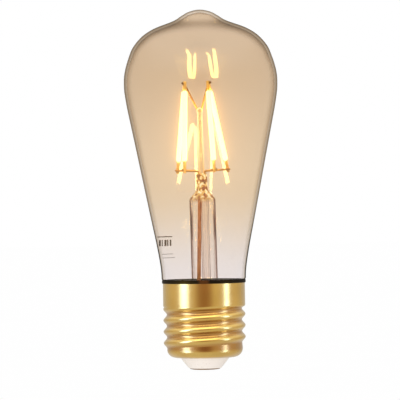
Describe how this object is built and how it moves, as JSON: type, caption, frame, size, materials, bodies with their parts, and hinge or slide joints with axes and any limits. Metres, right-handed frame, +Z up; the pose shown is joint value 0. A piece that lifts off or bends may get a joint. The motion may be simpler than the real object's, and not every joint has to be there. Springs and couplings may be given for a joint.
{
  "type": "smart light bulb",
  "caption": "Smart light bulb: tapered amber glass envelope with glowing filaments on a glass stem, a threaded metal screw cap, and a driver with a radio board inside the cap.",
  "frame": {"origin": "middle of the flat face of the centre contact, at the foot of the screw cap", "axes": "+Z up the lamp axis towards the tip of the glass; the pictured side faces -Y, with +X to its right"},
  "size_m": [0.0492, 0.0492, 0.1153],
  "materials": {
    "bridge_rectifier": "moulded epoxy",
    "cap_cement": "baked black cement",
    "cap_insulator": "white vitreous",
    "cap_shell": "polished, pale gold",
    "centre_contact": "tinned",
    "choke_core": "sintered ferrite",
    "choke_winding": "enamelled copper",
    "copper_wire": "copper",
    "driver_board": "glass-fibre laminate",
    "driver_chip": "moulded epoxy",
    "driver_sleeve": "moulded",
    "envelope_glass": "amber tint that fades to clear near the cap",
    "fusible_resistor": "lacquered",
    "input_capacitor": "dipped film",
    "phosphor": "phosphor-filled silicone, glowing",
    "radio_antenna": "gold-plated copper",
    "radio_board": "glass-fibre laminate",
    "radio_shield": "tinned",
    "smoothing_capacitor": "sleeved can",
    "stem_glass": "clear",
    "substrate": "ground",
    "support_wire": "oxidised nickel wire",
    "tab_metal": "plated"
  },
  "bodies": {
    "root": {"bridge_rectifier": "bridge_rectifier", "cap_cement": "cap_cement", "cap_insulator": "cap_insulator", "cap_shell": "cap_shell", "centre_contact": "centre_contact", "centre_post": "stem_glass", "centre_wire": "copper_wire", "choke_core": "choke_core", "choke_winding": "choke_winding", "driver_board": "driver_board", "driver_chip": "driver_chip", "driver_sleeve": "driver_sleeve", "exhaust_tube": "stem_glass", "filament_1_bottom_tab": "tab_metal", "filament_1_phosphor": "phosphor", "filament_1_substrate": "substrate", "filament_1_top_tab": "tab_metal", "filament_2_bottom_tab": "tab_metal", "filament_2_phosphor": "phosphor", "filament_2_substrate": "substrate", "filament_2_top_tab": "tab_metal", "filament_3_bottom_tab": "tab_metal", "filament_3_phosphor": "phosphor", "filament_3_substrate": "substrate", "filament_3_top_tab": "tab_metal", "filament_4_bottom_tab": "tab_metal", "filament_4_phosphor": "phosphor", "filament_4_substrate": "substrate", "filament_4_top_tab": "tab_metal", "flared_stem": "stem_glass", "fusible_resistor": "fusible_resistor", "glass_envelope": "envelope_glass", "input_capacitor": "input_capacitor", "lead_wire_live": "copper_wire", "lead_wire_return": "copper_wire", "lower_support_1": "support_wire", "lower_support_2": "support_wire", "lower_support_3": "support_wire", "lower_support_4": "support_wire", "radio_antenna": "radio_antenna", "radio_board": "radio_board", "radio_shield": "radio_shield", "shell_wire": "copper_wire", "smoothing_capacitor": "smoothing_capacitor", "top_hook_left": "support_wire", "top_hook_right": "support_wire"}
  },
  "joints": []
}
